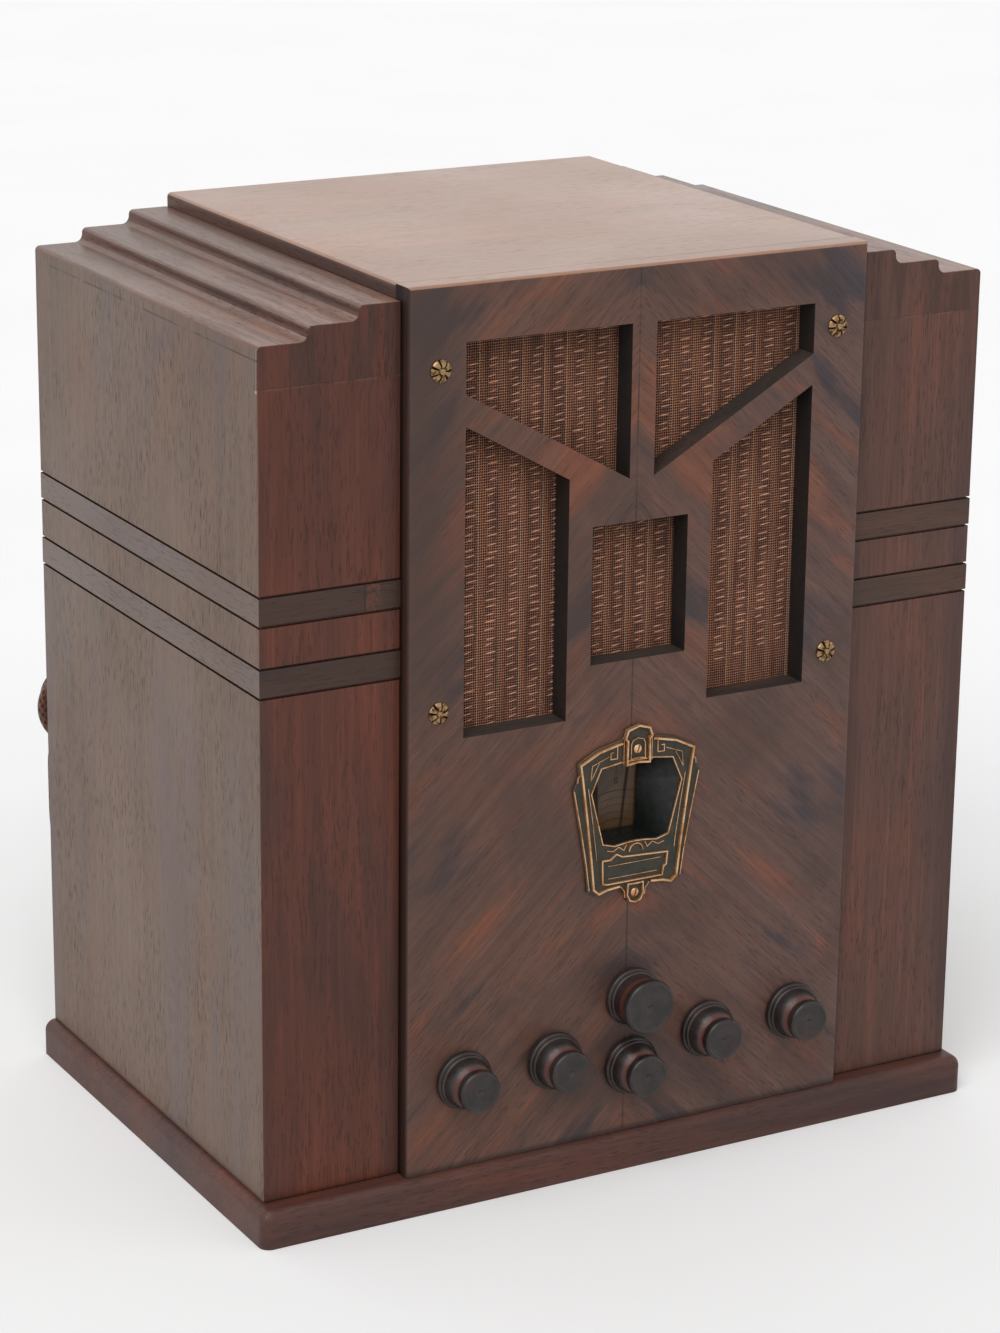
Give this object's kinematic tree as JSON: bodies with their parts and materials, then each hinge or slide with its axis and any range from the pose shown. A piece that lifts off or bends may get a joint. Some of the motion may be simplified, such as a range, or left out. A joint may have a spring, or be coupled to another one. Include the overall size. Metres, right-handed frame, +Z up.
{
  "type": "tombstone radio",
  "caption": "Upright wooden table radio with stepped shoulders, fretted grille, dial escutcheon and turned knobs on the front, open at the back.",
  "frame": {"origin": "centre of the base board's underside, where the radio stands", "axes": "+Z up through the cabinet, -Y out of the front with the grille and knobs, +X to the right as seen from the front"},
  "size_m": [0.442, 0.3735, 0.4985],
  "materials": {
    "walnut": "satin",
    "figured_veneer": "satin",
    "inlay": "satin",
    "plain_wood": "matt",
    "grille_cloth": "matt",
    "brass": "worn",
    "escutcheon": "satin",
    "dark_paint": "matt",
    "celluloid": "gloss",
    "lamp_glass": "clear",
    "tube_glass": "clear",
    "knob": "satin",
    "steel": "plain",
    "aluminium": "plain",
    "chassis": "plated",
    "black_iron": "satin",
    "cone_paper": "matt",
    "dark_moulding": "satin",
    "cardboard": "waxed",
    "rubber": "matt",
    "cord_cloth": "matt"
  },
  "bodies": {
    "cabinet": {"baffle_board": "plain_wood", "base_board": "walnut", "chassis_pan": "chassis", "condenser_frame": "steel", "condenser_stator": "aluminium", "control_nuts": "steel", "cord_hank": "cord_cloth", "cord_sleeve": "rubber", "corner_battens": "plain_wood", "dial_hood": "dark_paint", "dial_lamps": "lamp_glass", "dial_pointer": "dark_paint", "escutcheon": "escutcheon", "escutcheon_screws": "brass", "filter_capacitors": "cardboard", "foot_bolts": "steel", "front_panel": "figured_veneer", "grille_cloth": "grille_cloth", "if_transformer_cans": "aluminium", "inlay_bands": "inlay", "lamp_brackets": "steel", "mains_cord": "cord_cloth", "mains_plug": "dark_moulding", "output_transformer": "black_iron", "panel_controls": "dark_moulding", "pilaster_left": "walnut", "pilaster_right": "walnut", "power_transformer": "black_iron", "rosette_nuts": "steel", "rosette_screws": "brass", "shoulder_left": "walnut", "shoulder_right": "walnut", "side_panel_left": "walnut", "side_panel_right": "walnut", "speaker_basket": "black_iron", "speaker_bolts": "steel", "speaker_cone": "cone_paper", "speaker_magnet": "black_iron", "terminal_strip": "dark_moulding", "top_panel": "walnut", "tube_bases": "dark_moulding", "tube_bulbs": "tube_glass", "tube_shields": "aluminium", "tube_sockets": "dark_moulding", "tuning_bracket": "steel"},
    "volume_control": {"volume_knob": "knob", "volume_shaft": "steel"},
    "tone_control": {"tone_knob": "knob", "tone_shaft": "steel"},
    "tuning_drive": {"tuning_knob": "knob", "tuning_shaft": "steel"},
    "band_switch": {"band_knob": "knob", "band_shaft": "steel"},
    "sensitivity_control": {"sensitivity_knob": "knob", "sensitivity_shaft": "steel"},
    "power_switch": {"power_knob": "knob", "power_shaft": "steel"},
    "condenser": {"condenser_rotor": "aluminium", "drive_disc": "aluminium", "dial_scale": "celluloid"}
  },
  "joints": [
    {"name": "condenser_turn", "type": "hinge", "parent": "cabinet", "child": "condenser", "pos_m": [0, -0.1415, 0.17], "axis": [0, 1, 0], "range_deg": [-90, 90]},
    {"name": "tuning_turn", "type": "hinge", "parent": "cabinet", "child": "tuning_drive", "pos_m": [0, -0.1415, 0.1], "axis": [0, 1, 0], "range_deg": [-810, 810]},
    {"name": "volume_turn", "type": "hinge", "parent": "cabinet", "child": "volume_control", "pos_m": [-0.1027, -0.1415, 0.072], "axis": [0, 1, 0], "range_deg": [-150, 150]},
    {"name": "tone_turn", "type": "hinge", "parent": "cabinet", "child": "tone_control", "pos_m": [-0.04775, -0.1415, 0.072], "axis": [0, 1, 0], "range_deg": [-150, 150]},
    {"name": "band_turn", "type": "hinge", "parent": "cabinet", "child": "band_switch", "pos_m": [0, -0.1415, 0.06], "axis": [0, 1, 0], "range_deg": [-30, 30]},
    {"name": "sensitivity_turn", "type": "hinge", "parent": "cabinet", "child": "sensitivity_control", "pos_m": [0.04775, -0.1415, 0.072], "axis": [0, 1, 0], "range_deg": [-150, 150]},
    {"name": "power_turn", "type": "hinge", "parent": "cabinet", "child": "power_switch", "pos_m": [0.1027, -0.1415, 0.072], "axis": [0, 1, 0], "range_deg": [0, 60]}
  ],
  "couplings": [
    {"joint": "tuning_turn", "follows": "condenser_turn", "ratio": -9}
  ]
}
